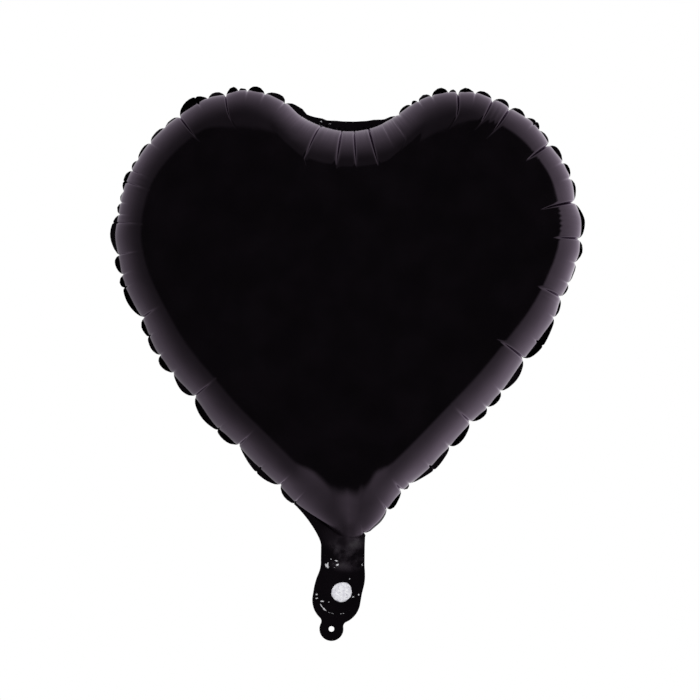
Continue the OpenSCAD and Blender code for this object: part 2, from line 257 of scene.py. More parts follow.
# width of the band: scallops between the creases, an uneven crescent in the notch, given by its distance
# from the middle, left to right; scallops wave out of the heart's plane, and a wide crescent lies flat
NOTCH_S = -57, -51, -43, -37, -29, -23, -19, -11, 0, 11, 17, 23, 27, 31, 37, 41, 43
NOTCH_W = 0, 2.7, 4.5, 3.1, 4.2, 5.2, 4.9, 6.3, 6.8, 6.3, 5.6, 5.1, 3.9, 2.2, 1.7, 0.2, 0
FLAT_W = 4
ARCH_POWER = 0.8
WAVE_POWER = 1.3
gap = np.clip(np.searchsorted(gap_at, COLUMNS, side="right") - 1, 0, gap_n - 1)
gap_f = np.clip((COLUMNS - gap_at[gap]) / np.diff(gap_at)[gap], 0, 1)
gathered = (COLUMNS >= gap_at[0]) & (COLUMNS <= gap_at[-1])
to_peak = gap_f ** (math.log(0.5) / np.log(gap_peak[gap]))
ARCH = np.where(gathered, np.sin(math.pi * to_peak) ** ARCH_POWER, 1)
notch_w = np.interp(HALF_L - COLUMNS, NOTCH_S, NOTCH_W)
low_w = gap_low[gap] + (gap_low[gap + 1] - gap_low[gap]) * gap_f
RIM_W = np.maximum(low_w + (gap_w[gap] - low_w) * ARCH, notch_w)
WAVE = np.where(gathered, gap_wave[gap] * ARCH, 0) * (1 - np.clip(notch_w / FLAT_W, 0, 1))
EDGE = SEAM + RIM_W * seam_out

# near the mouth the band's outer edge runs down into the straight edges of the neck: the band's width
# where that starts and how round the bend is, on the right and on the left
PLAIN_W = {1: 1.2, -1: 1.4}
ROUND = {1: 0.67, -1: 0.45}
for first, side in ((0, 1), (-1, -1)):
    plain_l = from_mouth(gap_at[first])
    point, out = rim(gap_at[first])
    end = point + PLAIN_W[side] * out
    end, out = (end, out) if side > 0 else (-end.conjugate(), -out.conjugate())
    bend = NECK_W / 2 + 1j * (end.imag + (end.real - NECK_W / 2) * out.real / out.imag)
    f = from_mouth(COLUMNS) / plain_l
    start = NECK_W / 2 + 1j * NECK_H
    curve = (1 - f) ** 3 * start + 3 * f * (1 - f) ** 2 * (start + ROUND[side] * (bend - start))
    curve = curve + 3 * f**2 * (1 - f) * (end + ROUND[side] * (bend - end)) + f**3 * end
    here = (f < 1) & ((COLUMNS < HALF_L) == (side > 0))
    EDGE = np.where(here, curve if side > 0 else -curve.conj(), EDGE)
neck_x = (COLUMNS - 2 * HALF_L - CHANNEL_W / 2) * NECK_W / CHANNEL_W
EDGE = np.where(in_mouth, neck_x + 1j * NECK_H, EDGE)

# outline of the tail in its own axes, from the right end of the neck round to the left end
LEAN = math.radians(9)
LEAN_START = 1
LEAN_L = 24
BAG_R = 19.3
BAG_C = -30j
WIDEN_L = 16
TAB_R = 9.6
TAB_C = -53.5j
FILLET_R = 4
SHOULDER_Z = 14
POCKET_R = 15.5
POCKET_C = -25.5j
SIDE_STEPS = 60
BAG_STEPS = 30
END_STEPS = 26

root_r = BAG_R + FILLET_R
root_down = (root_r**2 - (TAB_R + FILLET_R) ** 2 + abs(TAB_C - BAG_C) ** 2) / (2 * abs(TAB_C - BAG_C))
ROOT_C = BAG_C + math.sqrt(root_r**2 - root_down**2) - 1j * root_down
BAG_END_A = np.angle(ROOT_C - BAG_C)
side_z = np.linspace(NECK_H, BAG_C.imag, SIDE_STEPS, endpoint=False)
side_x = NECK_W / 2 + (BAG_R - NECK_W / 2) * rise(-side_z, 0, WIDEN_L)
right = np.append(side_x + 1j * side_z, BAG_C + BAG_R * turn(np.linspace(0, BAG_END_A, BAG_STEPS)))
bottom = right[-1].real * np.linspace(1, -1, END_STEPS)[1:-1] + 1j * right[-1].imag
BAG_EDGE = np.concatenate([right, bottom, -right[::-1].conj()])


def channel(z, margin):
    """Half width of the tail's open channel, and of its pocket above the pocket's middle."""
    return np.interp(z, (-SHOULDER_Z, -SHOULDER_Z / 3), (POCKET_R, CHANNEL_W / 2)) - margin


def pocket_edge(top_z, sides, round_n, margin):
    """Outline of the pocket in the tail's axes, down its right side, round it and up its left."""
    z = np.linspace(top_z, POCKET_C.imag, sides, endpoint=False)
    down = channel(z, margin) + 1j * z
    bowl = POCKET_C + (POCKET_R - margin) * turn(np.linspace(0, -math.pi, round_n))
    return np.concatenate([down, bowl, -down[::-1].conj()])


def leaning(point):
    """From the tail's own axes to the heart's: below the neck fold the tail leans to one side."""
    return point * turn(-LEAN * rise(-point.imag, -LEAN_START, LEAN_L))


# crumples below the heart: how far down they begin, where the neck fold and the neck have more of them,
# how high they are, and the width, the length and the seed of their ridges
CRUMPLE_TOP = 21
CRUMPLE_L = 8
FOLD_Z = -0.5, 5
FOLD_HIGH = 0.12
FOLD_LEFT_HIGH = 0.32
FOLD_LEFT_X = 4
FOLD_LEFT_L = 9
FOLD_RIDGES = 7, 5, 3.1
NECK_Z = 7, 4.5
NECK_HIGH = 0.28
NECK_RIDGES = 9, 8, 6.3
TAIL_HIGH = 0.16
TAIL_RIDGES = 11, 14, 8.4


def ridges(point, wide, long, seed):
    """Creased noise from -1 to 1, with sharp crests."""
    flat = zip(np.ravel(point.real / wide), np.ravel(point.imag / long))
    height = [1 - 4 * abs(noise.noise(Vector((a, b, seed)))) for a, b in flat]
    return np.array(height).reshape(np.shape(point))


def crumple(point):
    """How far the neck and the tail stand out of their plane."""
    x, z = point.real, point.imag
    fold = bell(z, *FOLD_Z) * (FOLD_HIGH + FOLD_LEFT_HIGH * rise(-x, -FOLD_LEFT_X, FOLD_LEFT_L))
    neck = NECK_HIGH * bell(z, *NECK_Z)
    height = fold * ridges(point, *FOLD_RIDGES) + neck * ridges(point, *NECK_RIDGES)
    return rise(-z, -CRUMPLE_TOP, CRUMPLE_L) * (height + TAIL_HIGH * ridges(point, *TAIL_RIDGES))


def laid(flat, y):
    """Points of the heart's axes from points of the tail's, at a height out of its plane."""
    point = leaning(flat)
    return np.stack([point.real, y + crumple(point), point.imag], -1)


def film_grid(name, points, **values):
    """A mesh whose rows and columns of vertices are these points, with these values stored on it."""
    rows, columns = points.shape[:2]
    bpy.ops.mesh.primitive_grid_add(x_subdivisions=columns - 1, y_subdivisions=rows - 1, size=1)
    piece = bpy.context.object
    piece.name = piece.data.name = name
    piece.data.vertices.foreach_set("co", (points * MM).astype(np.float32).ravel())
    piece.data.update()
    for key, value in values.items():
        store(piece, key, np.broadcast_to(value, points.shape[:2]))
    piece.select_set(False)
    return piece


def store(piece, key, value):
    """Keeps a value for each vertex on the mesh, where a material can read it."""
    spread = value.astype(np.float32).ravel()
    piece.data.attributes.new(key, "FLOAT", "POINT").data.foreach_set("value", spread)


def closed(points):
    """The same rows with the first column again at the end."""
    return np.concatenate([points, points[:, :1]], 1)


def faces_to(piece, direction):
    """Turns the faces round if they face away from this direction on the whole."""
    normals = np.zeros(3 * len(piece.data.polygons))
    piece.data.polygons.foreach_get("normal", normals)
    if normals.reshape(-1, 3).sum(0) @ direction < 0:
        piece.data.flip_normals()


def sewn(name, pieces, facing):
    """Joins sheets at their common edges into one, with its faces to one side."""
    for piece in pieces:
        faces_to(piece, facing)
        piece.select_set(True)
    whole = pieces[0]
    bpy.context.view_layer.objects.active = whole
    if len(pieces) > 1:
        bpy.ops.object.join()
    whole.name = whole.data.name = name
    bpy.ops.object.mode_set(mode="EDIT")
    bpy.ops.mesh.select_all(action="SELECT")
    bpy.ops.mesh.remove_doubles(threshold=1e-6)
    bpy.ops.object.mode_set(mode="OBJECT")
    whole.select_set(False)
    return whole


SMOOTH_A = math.radians(50)


def thickened(piece, thickness, offset=-1):
    """Gives a sheet its thickness, inwards from its face or with offset 0 to both sides of it, and
    smooths its shading. A second material shows on the inside."""
    solid = piece.modifiers.new("Thickness", "SOLIDIFY")
    solid.thickness = thickness * MM
    solid.offset = offset
    solid.material_offset = 1
    bpy.context.view_layer.objects.active = piece
    bpy.ops.object.modifier_apply(modifier=solid.name)
    piece.select_set(True)
    bpy.ops.object.shade_smooth_by_angle(angle=SMOOTH_A)
    piece.select_set(False)


def across_neck(piece):
    """Bakes a film's placement into its mesh."""
    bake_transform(piece)


# rows from the band's outer edge in to the seam; on the left of the mouth the films are drawn over the
# band, whose inner edge stays where it was
WELD_ROWS = np.linspace(1, 0, 9)[:, None]
heart_part = COLUMNS <= MOUTH_AT
on_left = COLUMNS > HALF_L
inner = np.where(on_left, SEAM - drawn(COLUMNS), SEAM)[heart_part]
heart_band = inner + (EDGE[heart_part] - inner) * WELD_ROWS
heart_y = WAVE[heart_part] * WELD_ROWS**WAVE_POWER + crumple(heart_band)
heart_band = np.stack([heart_band.real, heart_y, heart_band.imag], -1)
tail_inner = pocket_edge(NECK_H, SIDE_STEPS, len(BAG_EDGE) - 2 * SIDE_STEPS, 0)
tail_band = laid(tail_inner + (BAG_EDGE - tail_inner) * WELD_ROWS, 0)
band = film_grid("edge_weld", closed(np.concatenate([heart_band, tail_band[:, ::-1]], 1)))
edge_weld = sewn("edge_weld", [band], (0, -1, 0))
thickened(edge_weld, SEAL_T, 0)


class Value:
    """A socket of a node tree that takes part in sums."""

    def __init__(self, tree, socket):
        self.tree = tree
        self.socket = socket

    def node(self, kind, settings=(), sockets=(), output=0):
        return add_node(self.tree, kind, settings, sockets, output)

    def sum(self, operation, *values):
        return self.node("ShaderNodeMath", {"operation": operation}, dict(enumerate(values)))

    def __add__(self, other):
        return self.sum("ADD", self, other)

    def __sub__(self, other):
        return self.sum("SUBTRACT", self, other)

    def __rsub__(self, other):
        return self.sum("SUBTRACT", other, self)

    def __mul__(self, other):
        return self.sum("MULTIPLY", self, other)

    __radd__ = __add__
    __rmul__ = __mul__

    def ramp(self, low, high, start=0.0, end=1.0):
        """From start to end, smoothly, as the value goes from low to high."""
        return self.node(
            "ShaderNodeMapRange", {"interpolation_type": "SMOOTHSTEP"},
            {"Value": self, "From Min": low, "From Max": high, "To Min": start, "To Max": end})

    def cloud(self, scale, detail):
        """Soft noise at this place, with this many waves to the metre."""
        return self.node("ShaderNodeTexNoise", {}, {"Vector": self, "Scale": scale, "Detail": detail})


def add_node(tree, kind, settings=(), sockets=(), output=0):
    """A new node with these settings and these values or links of its sockets."""
    made = tree.nodes.new(kind)
    for key, value in dict(settings).items():
        setattr(made, key, value)
    feed(tree, made, sockets)
    return Value(tree, made.outputs[output])


def feed(tree, made, sockets):
    """Sets a node's sockets to numbers and colours, or links values to them."""
    for key, value in dict(sockets).items():
        if isinstance(value, Value):
            tree.links.new(value.socket, made.inputs[key])
        else:
            made.inputs[key].default_value = value


def finish(name, constants):
    """A material with these constants on its shader, its tree and its object coordinates."""
    material = bpy.data.materials.new(name)
    material.use_nodes = True
    tree = material.node_tree
    shader = tree.nodes["Principled BSDF"]
    feed(tree, shader, constants)
    return material, tree, shader, add_node(tree, "ShaderNodeTexCoord", output="Object")


def blended(tree, factor, first, second):
    """A colour between two colours."""
    return add_node(
        tree, "ShaderNodeMix", {"data_type": "RGBA"}, {0: factor, 6: first, 7: second}, 2)


WELD_DARK = 0.012, 0.011, 0.013, 1
WELD_PALE = 0.05, 0.048, 0.052, 1


def sealed_film():
    """Film pressed by a hot bar: black and mottled, less glossy than the panels."""
    material, tree, shader, place = finish("sealed_film", {"IOR": 1.5})
    mottle = place.cloud(260, 3)
    feed(tree, shader, {
        "Base Color": blended(tree, mottle, WELD_DARK, WELD_PALE),
        "Roughness": mottle.ramp(0.3, 0.7, 0.3, 0.5),
    })
    return material


WELDED = sealed_film()
edge_weld.data.materials.append(WELDED)
across_neck(edge_weld)
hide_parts("rim_seal", "tail_seal")

# Heart panels
# Two sheets of metallised film, printed glossy black outside and left silver inside, cut to one
# outline with the tail and held together by the rim weld. Gas swells them, and the neck and the tail
# stay nearly flat.
FILM_T = 0.05
BELLY = 80
BELLY_C = 226j
ROUND_R = 150
DOME_N = 30
DOME_POWER = 1.9
FILM_POWER = 1.5
SWELL_COLUMNS = 420
SOLVED = 1e-9
RIM_N = 4
PORT_R = 8
PORT_C = 3 - 23j
SHARES = 1 - (np.arange(DOME_N + 1) / DOME_N) ** DOME_POWER


def contour(place, share):
    """Point of the ring that lies this share of the way from the deepest point to the seam."""
    reach = rim(place)[0] - BELLY_C
    return BELLY_C + share * (share**2 * reach + (1 - share**2) * ROUND_R * reach / abs(reach))


def swell(columns):
    """Height of the gas-filled film over each ring, from 0 at the seam to 1, at evenly spaced
    places. A function that is 0 on the seam and curves alike everywhere, as a soap film under
    pressure does, is found on triangles by conjugate gradients, and rounded off as film is."""
    places = np.arange(columns) * RIM_L / columns
    flat = np.array([contour(places, share) for share in SHARES[:-1]])
    points = np.append(flat, BELLY_C)
    near = np.arange(flat.size).reshape(flat.shape)
    far = np.roll(near, -1, axis=1)
    pole = np.full(columns, flat.size)
    corners = np.concatenate([
        np.stack([near[:-1], far[:-1], far[1:]], -1).reshape(-1, 3),
        np.stack([near[:-1], far[1:], near[1:]], -1).reshape(-1, 3),
        np.stack([near[-1], far[-1], pole], -1)])
    load, start, end, stiff = np.zeros(points.size), [], [], []
    for k in range(3):
        a, b, c = corners[:, k], corners[:, k - 1], corners[:, k - 2]
        legs = (points[a] - points[c]).conj() * (points[b] - points[c])
        load += np.bincount(c, abs(legs.imag) / 6, points.size)
        start.append(a)
        end.append(b)
        stiff.append(legs.real / abs(legs.imag) / 2)
    start, end, stiff = map(np.concatenate, (start, end, stiff))
    free = np.arange(points.size) >= columns
    weight = np.bincount(start, stiff, points.size) + np.bincount(end, stiff, points.size)

    def pull(height):
        part = stiff * (height[start] - height[end])
        return (np.bincount(start, part, points.size) - np.bincount(end, part, points.size)) * free

    height, left = np.zeros(points.size), load * free
    scaled = left / weight
    step, size = scaled.copy(), left @ scaled
    while size > SOLVED * (load @ (load / weight)):
        pulled = pull(step)
        height += size / (step @ pulled) * step
        left = left - size / (step @ pulled) * pulled
        scaled = left / weight
        step, size = scaled + (left @ scaled) / size * step, left @ scaled
    share = height / height.max()
    share = np.append(share[:-1].reshape(flat.shape), np.full((1, columns), share[-1]), 0)
    return np.sqrt(np.clip(1 - (1 - share) ** FILM_POWER, 0, 1))


def between(table, place):
    """Values of a table's rows of evenly spaced places, on a smooth curve between them."""
    row, spot = np.arange(len(table))[:, None], place / RIM_L * table.shape[1]
    k = np.floor(spot).astype(int)
    f = spot - k
    v = [table[row, (k + i) % table.shape[1]] for i in (-1, 0, 1, 2)]
    slope0, slope1 = (v[2] - v[0]) / 2, (v[3] - v[1]) / 2
    bend = v[1] - v[2]
    cubic = f**3 * (2 * bend + slope0 + slope1)
    return v[1] + f * slope0 + f**2 * (-3 * bend - 2 * slope0 - slope1) + cubic


# the neck's channel: how far it is blown up and where that starts, how the heart's swollen foot runs out
# into it, and how it widens, ends and rounds off above the mouth
NECK_PUFF = 1.6
PUFF_Z = 2, 14
FOOT = 6.0
FOOT_L = 6.5
FOOT_WIDEN = 0.6
FOOT_END_L = 30
FOOT_ROUND_L = 10


def neck_puff(point):
    """How far the neck's channel is blown up, from the mouth down to the fold."""
    z = point.imag
    near = ease(z / MOUTH_Z)
    pull = (PULL_LEFT + PULL_RIGHT) / 2
    x = point.real - pull.real * near
    above = np.maximum(z - MOUTH_Z, 0)
    half = CHANNEL_W / 2 + (PULL_RIGHT - PULL_LEFT).real / 2 * near + FOOT_WIDEN * above
    foot = FOOT * np.exp(-np.maximum(MOUTH_Z + pull.imag - MOUTH_DIP - z, 0) / FOOT_L)
    high = (NECK_PUFF * rise(z, *PUFF_Z) + foot) * fall(above, 0, FOOT_END_L)
    return high * np.clip(1 - (x / half) ** 2, 0, 1) ** (1 + rise(above, 0, FOOT_ROUND_L))


SEARCHES = 8
SEARCH_HALF = 0.5
LEAST_AHEAD = 0.2
MOST_MOVE = 4


def square_in(share):
    """Places of the points of a ring that lie square in from the seam's columns."""
    place = COLUMNS
    seam_way = (1j * seam_out).conj()
    for _ in range(SEARCHES):
        ahead = (contour(place + SEARCH_HALF, share) - contour(place - SEARCH_HALF, share)) * seam_way
        off = (contour(place, share) - seam_point) * seam_way
        place = place - np.clip(off.real / np.maximum(ahead.real, LEAST_AHEAD), -MOST_MOVE, MOST_MOVE)
    return place


# columns run square to the seam near the rim, so the creases do, and furthest in the notch
NOTCH_ALONG = 500, 45
MOST_SLIDE = 0.7
in_notch = rise(from_mouth(COLUMNS), *NOTCH_ALONG)
SQUARE_L = 14 + 16 * in_notch
SETTLE_L = 24 + 12 * in_notch
most = MOST_SLIDE * from_mouth(COLUMNS)
# the left part of the notch's fan spreads further than square
FAN_LEAN = 0.14
FAN_LEFT = 0, 8
FAN_LEFT_END = 25, 30
fan_off = COLUMNS - HALF_L
spread = FAN_LEAN * rise(fan_off, *FAN_LEFT) * fall(fan_off, *FAN_LEFT_END)
slide = [0 * COLUMNS]
for outer, share in zip(SHARES, SHARES[1:-1]):
    depth = abs(contour(COLUMNS, share) - seam_point)
    deeper = depth - abs(contour(COLUMNS, outer) - seam_point)
    more = square_in(share) - square_in(outer) + spread * deeper
    more = more * fall(depth, SQUARE_L, SETTLE_L)
    slide.append(np.clip(slide[-1] + more, -most, most))
PLACES = COLUMNS + np.array([*slide, slide[-1]])
FLAT = np.array([contour(p, share) for p, share in zip(PLACES, SHARES)])
HEIGHT = between(swell(SWELL_COLUMNS), PLACES)
# below the notch the film keeps its slope further in
NOTCH_RISE = 5
NOTCH_RISE_L = 40
NOTCH_RISE_END = 35, 50
inset = abs(FLAT - seam_point)
risen = NOTCH_RISE / BELLY * in_notch * rise(inset, 0, NOTCH_RISE_L) * fall(inset, *NOTCH_RISE_END)
HEIGHT = HEIGHT + risen
# next to the mouth the neck holds the film down
HOLD = 0.36
HOLD_L = 40
HOLD_ALONG = 15, 45
HOLD_END = 60, 110
near_mouth = fall(from_mouth(COLUMNS), *HOLD_ALONG)
held_down = HOLD * near_mouth * np.exp(-inset / HOLD_L) * fall(inset, *HOLD_END)
HEIGHT = HEIGHT * (1 - held_down)
# film doesn't break at the mouth's corners: round them it is smoothed along the rings
CORNER_L = 11
CORNER_ALONG = 8, 34
CORNER_IN = 1, 9
apart = abs((COLUMNS[:, None] - COLUMNS + RIM_L / 2) % RIM_L - RIM_L / 2)
share_of = bell(apart, 0, CORNER_L) * np.gradient(COLUMNS)
share_of /= share_of.sum(1, keepdims=True)
at_corner = fall(from_mouth(COLUMNS), *CORNER_ALONG) * rise(inset, *CORNER_IN)
FLAT, HEIGHT = (grid + at_corner * (grid @ share_of.T - grid) for grid in (FLAT, HEIGHT))
# how far in pillows and tucks reach, where the fan's creases begin, where the ripples are, and how far
# the notch is pleated
PILLOW_REACH = 45
TUCK_REACH = 16
FAN_START = 9
FAN_TURN = 1.5, 6
RIPPLE_AT = 34
RIPPLE_REACH = 17
RIPPLE_FULL = 1.2
PLEAT_L = 62


def heart_points(side):
    """Outer face of one panel's heart and how finely pleated each point is: rows from the rim's
    edge to the seam and on to the middle."""
    outside = SEAL_T / 2 + FILM_T
    base = np.stack(
        [FLAT.real, side * (outside + np.hypot(BELLY * HEIGHT, neck_puff(FLAT))), FLAT.imag], -1)
    along = np.roll(base, -1, 1) - np.roll(base, 1, 1)
    facing = np.cross(along, np.gradient(base, axis=0))
    facing[0] = np.stack([seam_out.real, 0 * COLUMNS, seam_out.imag], -1)
    facing[-1] = 0, side, 0
    facing /= np.maximum(np.linalg.norm(facing, axis=-1, keepdims=True), 1e-9)
    past_seam = (np.arange(DOME_N + 1) > 0)[:, None, None]
    facing *= np.where((facing[..., 1:2] * side < 0) & past_seam, -1, 1)
    steps = np.linalg.norm(np.diff(base, axis=0), axis=-1)
    deep = np.vstack([0 * COLUMNS, np.cumsum(steps, 0)])
    groove = GROOVE * np.clip(1 - (deep[..., None] / crease_reach) ** 2, 0, 1)
    sunk = groove[..., ~in_fan].sum(-1) + PILLOW * tent(deep, PILLOW_REACH, 2)
    sunk = sunk + TUCK * tent(deep, TUCK_REACH, 2)
    for at, half, high in ripples:
        here = ease(RIPPLE_FULL - abs(COLUMNS - at) / half)
        here = here * ease(1 - abs(deep - RIPPLE_AT) / RIPPLE_REACH)
        sunk = sunk + high * here * np.sin(2 * math.pi * (COLUMNS - at) / RIPPLE_L)
    points = base - sunk[..., None] * facing
    # the fan's creases leave the seam's line alone
    out_here = rise(inset, *FAN_TURN)[..., None]
    way = facing * out_here + np.array((0, side, 0)) * (1 - out_here)
    points -= (groove[..., in_fan].sum(-1) * rise(deep, 0, FAN_START))[..., None] * way
    seam = points[0, :, 0] + 1j * points[0, :, 2]
    rows = []
    for out in np.arange(RIM_N, 0, -1) / RIM_N:
        flat = seam + (EDGE - seam) * out
        y = side * (outside + neck_puff(flat)) + WAVE * out**WAVE_POWER + crumple(flat)
        rows.append(np.stack([flat.real, y, flat.imag], -1))
    # how strongly the notch is pleated, which sets both the pleats' bump and their painted light and shade
    pleats = ease(1 - deep / PLEAT_L) * in_notch
    return np.concatenate([rows, points]), np.vstack([np.zeros((RIM_N, len(COLUMNS))), pleats])


POCKET_EDGE_L = 4
POCKET_TOP = 4
POCKET_TOP_L = 16


def pocket(point):
    """How far the unsealed pocket of the tail is blown up at a point of its own axes."""
    beside = channel(point.imag, 0) - abs(point.real)
    inside = np.where(point.imag > POCKET_C.imag, beside, POCKET_R - abs(point - POCKET_C))
    return rise(inside, 0, POCKET_EDGE_L) * rise(-point.imag, -POCKET_TOP, POCKET_TOP_L)


def drawn_in(edge, centre, radius, rows, ragged=0.0):
    """Rows of points from an outline in to a circle round a centre, which may be cut unevenly."""
    spoke = (edge - centre) / abs(edge - centre)
    angle = np.angle(spoke)
    uneven = np.sin(2 * angle + 0.6) + 0.7 * np.sin(5 * angle + 1.9) + 0.5 * np.sin(11 * angle)
    inner = centre + radius * (1 + ragged * uneven) * spoke
    return edge + (inner - edge) * np.linspace(0, 1, rows)[:, None]


# front and back: how far the pocket is blown up, and the hole for the port
PUFF = {-1: 0.9, 1: 0.5}
HOLE = {-1: PORT_R, 1: 0.0}
PORT_RAGGED = 0.018
TAIL_ROWS = 50
TAIL_EDGE = np.append(BAG_EDGE, EDGE[in_mouth][1:])
panels = {}
for side, name in ((-1, "front_panel"), (1, "back_panel")):
    points, pleats = heart_points(side)
    heart = film_grid(name, closed(points), pleats=closed(pleats), around=np.append(COLUMNS, RIM_L))
    flat = drawn_in(TAIL_EDGE, PORT_C, HOLE[side], TAIL_ROWS, PORT_RAGGED)
    y = side * (SEAL_T / 2 + FILM_T + neck_puff(flat) + PUFF[side] * pocket(flat))
    tail = film_grid("tail", closed(laid(flat, y)), pleats=0, around=0)
    panels[side] = sewn(name, [heart, tail], (0, side, 0))

# a thin coat of black ink on polished metal: nearly black, glossy, with a cool violet sheen; pale specks
# of ink are painted glints, the notch's fine pleats get painted light and shade as paler and darker
# streaks, and handling dulls the neck
SHEEN = 0.97, 0.89, 1.0, 1
INK_DARK = 0.036, 0.0275, 0.037, 1
INK_PALE = 0.070, 0.0535, 0.072, 1
INK_DULL = 0.032, 0.030, 0.032, 1
GLINT_PALE = 0.80, 0.80, 0.83, 1
SILVER_DARK = 0.74, 0.75, 0.77, 1
SILVER_PALE = 0.84, 0.84, 0.85, 1


def named(place, name):
    """A value stored on the mesh."""
    return place.node("ShaderNodeAttribute", {"attribute_name": name}, output="Fac")


def black_film():
    """The printed outside: smeared, finely pleated in the notch with the pleats' light and shade painted
    in, with painted glints, dulled and worn in places.
    """
    material, tree, shader, place = finish("black_film", {"IOR": 1.6, "Specular Tint": SHEEN})
    smear, grain, glint_ragged = place.cloud(38, 4), place.cloud(900, 2), place.cloud(1500, 3)
    streak = place.node(
        "ShaderNodeTexNoise", {"noise_dimensions": "1D"},
        {"W": named(place, "around"), "Scale": 0.45, "Detail": 2})
    painted_glint_mask, haze, worn = (named(place, name) for name in ("painted_glint_mask", "haze", "worn"))
    # painted glints: where the mask is set, ragged specks of the ink turn pale, less metallic and rougher
    glint = (painted_glint_mask + (glint_ragged - 0.5) * 1.2).ramp(0.5, 0.62) * painted_glint_mask.ramp(0.02, 0.7)
    matt = smear.ramp(0.42, 0.62) * haze.ramp(0.0, 1.0)
    # the notch's pleats: the bump below gives their relief, and their light and shade are also painted into
    # the ink as paler and darker streaks
    pleats = (streak - 0.5) * named(place, "pleats")
    ink = blended(tree, pleats * 6 + smear, INK_DARK, INK_PALE)
    dull = blended(tree, matt, ink, INK_DULL)
    pleated = place.node("ShaderNodeBump", {}, {"Strength": 1.0, "Distance": 0.0009, "Height": pleats})
    grained = place.node(
        "ShaderNodeBump", {}, {"Strength": 0.03, "Distance": 0.0002, "Height": grain, "Normal": pleated})
    feed(tree, shader, {
        "Base Color": blended(tree, glint, dull, GLINT_PALE),
        "Metallic": (1 - matt) * (1 - glint * 0.65),
        "Roughness": smear.ramp(0.3, 0.75, 0.05, 0.10) + glint * 0.35 + haze * 0.1 + worn * 0.3,
        "Normal": grained,
    })
    return material


def bare_metal():
    """The unprinted inside."""
    material, tree, shader, place = finish("bare_metal", {"Metallic": 1.0})
    smear = place.cloud(60, 4)
    feed(tree, shader, {
        "Base Color": blended(tree, smear, SILVER_DARK, SILVER_PALE),
        "Roughness": smear.ramp(0.3, 0.75, 0.14, 0.24),
    })
    return material


# painted glints, pale specks on the ink: x, z, half length, half width, slope in degrees and strength of
# each
PAINTED_GLINTS = (
    (-12.6, -2.4, 2.5, 1.2, -50, 1.0), (-11.9, -0.9, 1.5, 0.6, 80, 1.0), (-14.6, 1.1, 1.9, 0.35, -70, 0.45),
    (-4.2, -1.4, 1.7, 0.8, 25, 1.0), (-5.1, 1.8, 1.4, 0.6, -15, 1.0), (-2.0, 3.4, 1.2, 0.6, 20, 0.6),
    (-6.4, -3.8, 0.9, 0.5, 30, 0.7), (-7.7, -0.7, 0.9, 0.5, 60, 0.7), (15.6, -1.4, 2.0, 0.9, 80, 0.6),
    (5.5, -12.7, 1.5, 0.7, 40, 0.6), (-20.5, -25.4, 1.2, 0.7, 0, 0.9), (-20.5, -28.4, 1.2, 0.7, 10, 0.9),
    (-16.0, -30.8, 2.0, 0.7, 0, 1.0), (-10.6, -31.3, 1.4, 0.5, 10, 0.6), (13.0, -25.1, 1.1, 0.8, -40, 0.8),
    (8.6, -27.0, 1.4, 0.6, 20, 0.8), (-14.4, -37.0, 1.8, 0.8, -45, 0.9), (1.2, -40.3, 1.3, 0.5, 10, 0.6),
    (-21.4, 353.2, 1.3, 0.8, -40, 0.9), (-13.6, 351.2, 1.3, 0.9, 0, 1.0),
    (-36.6, 361.4, 1.0, 0.6, -30, 0.55), (-27.6, 355.5, 1.2, 0.5, -20, 0.55))
# a painted highlight, a pale broken line along the pocket's edge: radius, half width, and its strength by
# degrees round the pocket from its left
EDGE_GLINT_R = 15.7
EDGE_GLINT_W = 0.5
EDGE_GLINT = (
    (0, 0), (30, 0.35), (46, 0.85), (56, 0.6), (72, 0.5), (88, 0.55), (96, 0.2), (104, 0.3), (110, 0.7),
    (117, 0.2), (136, 0.42), (146, 0.35), (156, 0), (360, 0))
# middle and half sizes of the dulled patch of the neck, and of the handled film round the mouth
HAZE = 4 + 8j, 17, 13
WORN = 2 + 22j, 20, 12
# a mark ends this many half sizes from its middle, and is strongest up to one less
MARK_END = 1.4


def painted_glint(x, z, a, b, half_l, half_w, slope, strength):
    """How strongly one painted glint shows at each point."""
    off = ((x - a) + 1j * (z - b)) * turn(-math.radians(slope))
    return strength * np.clip(MARK_END - np.hypot(off.real / half_l, off.imag / half_w), 0, 1)


def patch(x, z, middle, half_x, half_z):
    """How strongly a soft patch shows at each point."""
    return ease(MARK_END - np.hypot((x - middle.real) / half_x, (z - middle.imag) / half_z))


INK, METAL = black_film(), bare_metal()
for side, panel in panels.items():
    panel.data.materials.append(INK)
    panel.data.materials.append(METAL)
    co = np.zeros(3 * len(panel.data.vertices))
    panel.data.vertices.foreach_get("co", co)
    x, _, z = co.reshape(-1, 3).T / MM
    # pale specks and a pale broken line painted on the front panel's ink stand for glints
    glint_marks = np.max([painted_glint(x, z, *values) for values in PAINTED_GLINTS], 0)
    in_tail = (x + 1j * z) * turn(LEAN)
    edge_glint = np.clip(MARK_END - abs(abs(in_tail - POCKET_C) - EDGE_GLINT_R) / EDGE_GLINT_W, 0, 1)
    glint_marks = np.maximum(glint_marks, edge_glint * eased(np.degrees(np.angle(POCKET_C - in_tail)) % 360, EDGE_GLINT))
    store(panel, "painted_glint_mask", glint_marks * (side < 0))
    store(panel, "haze", patch(x, z, *HAZE))
    store(panel, "worn", patch(x, z, *WORN))
    thickened(panel, FILM_T)
    across_neck(panel)
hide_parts("front_film", "tail_front_film")
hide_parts("back_film", "tail_back_film")

